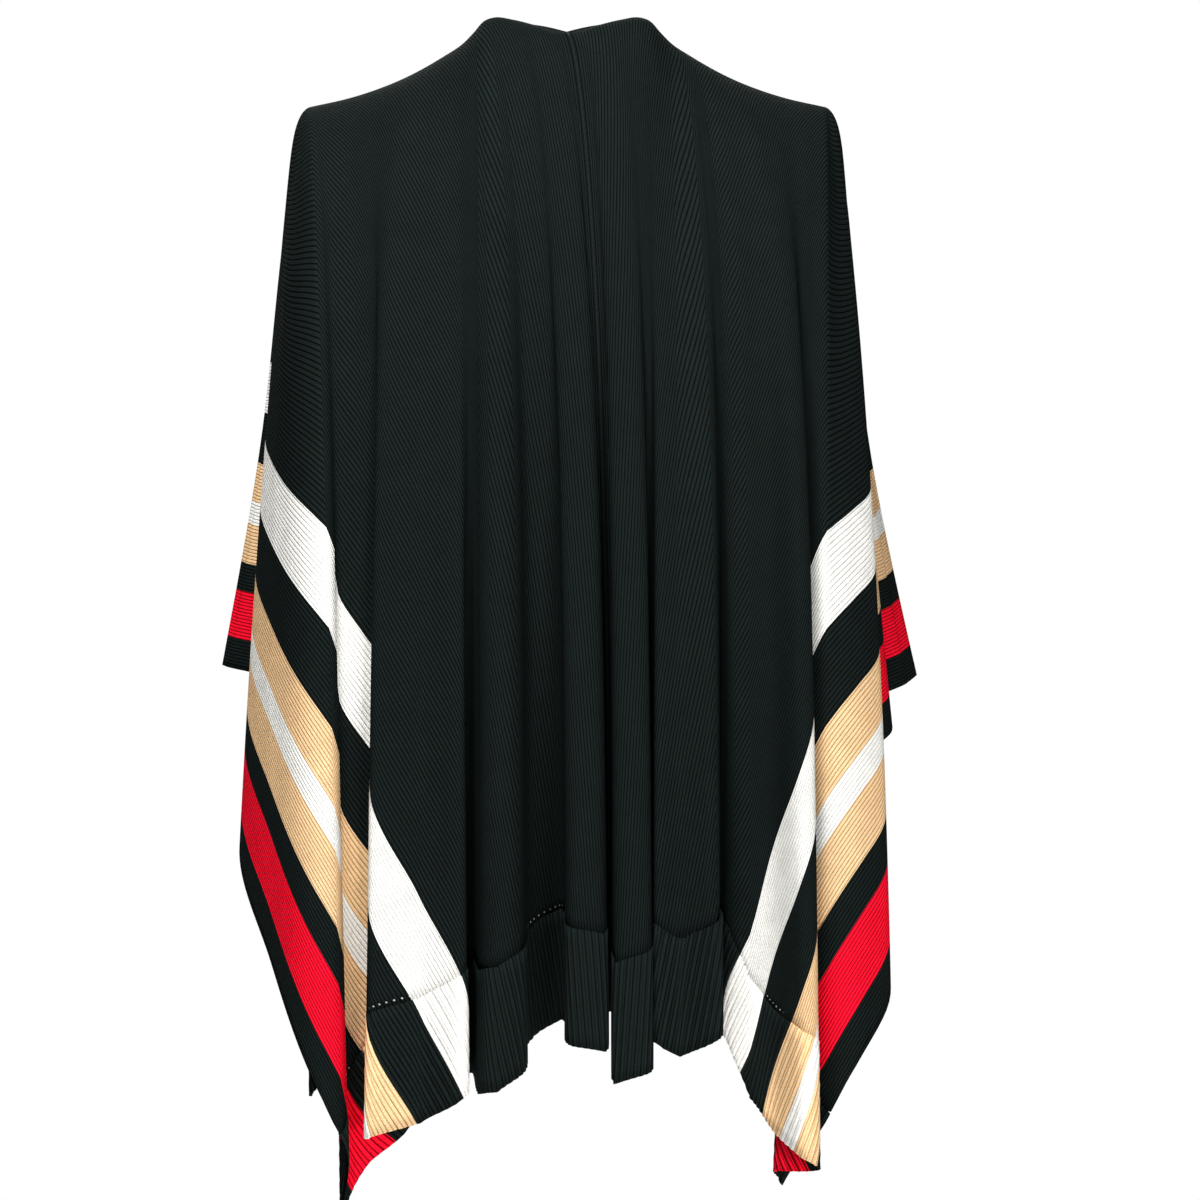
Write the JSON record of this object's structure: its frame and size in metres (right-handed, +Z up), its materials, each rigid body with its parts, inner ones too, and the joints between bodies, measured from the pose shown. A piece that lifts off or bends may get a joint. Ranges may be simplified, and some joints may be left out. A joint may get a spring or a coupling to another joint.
{
  "type": "knitted poncho sweater",
  "caption": "Open-front knitted poncho of two striped panels with ribbed hems, hanging in deep folds as worn, with no wearer.",
  "frame": {"origin": "midway between the two shoulder points, at the height where the wearer's shoulders hold the garment", "axes": "+Z up, the wearer faces -Y so the back is on +Y, +X is the wearer's left"},
  "size_m": [0.595, 0.3885, 0.9676],
  "materials": {
    "striped_knit": "fine flat knit, black, with white, tan and red stripes along the side edges",
    "ribbed_hem": "ribbed knit, in the panel's colours"
  },
  "bodies": {
    "root": {"left_panel": "striped_knit", "right_panel": "striped_knit", "left_back_rib": "ribbed_hem", "left_front_rib": "ribbed_hem", "right_back_rib": "ribbed_hem", "right_front_rib": "ribbed_hem"}
  },
  "joints": []
}
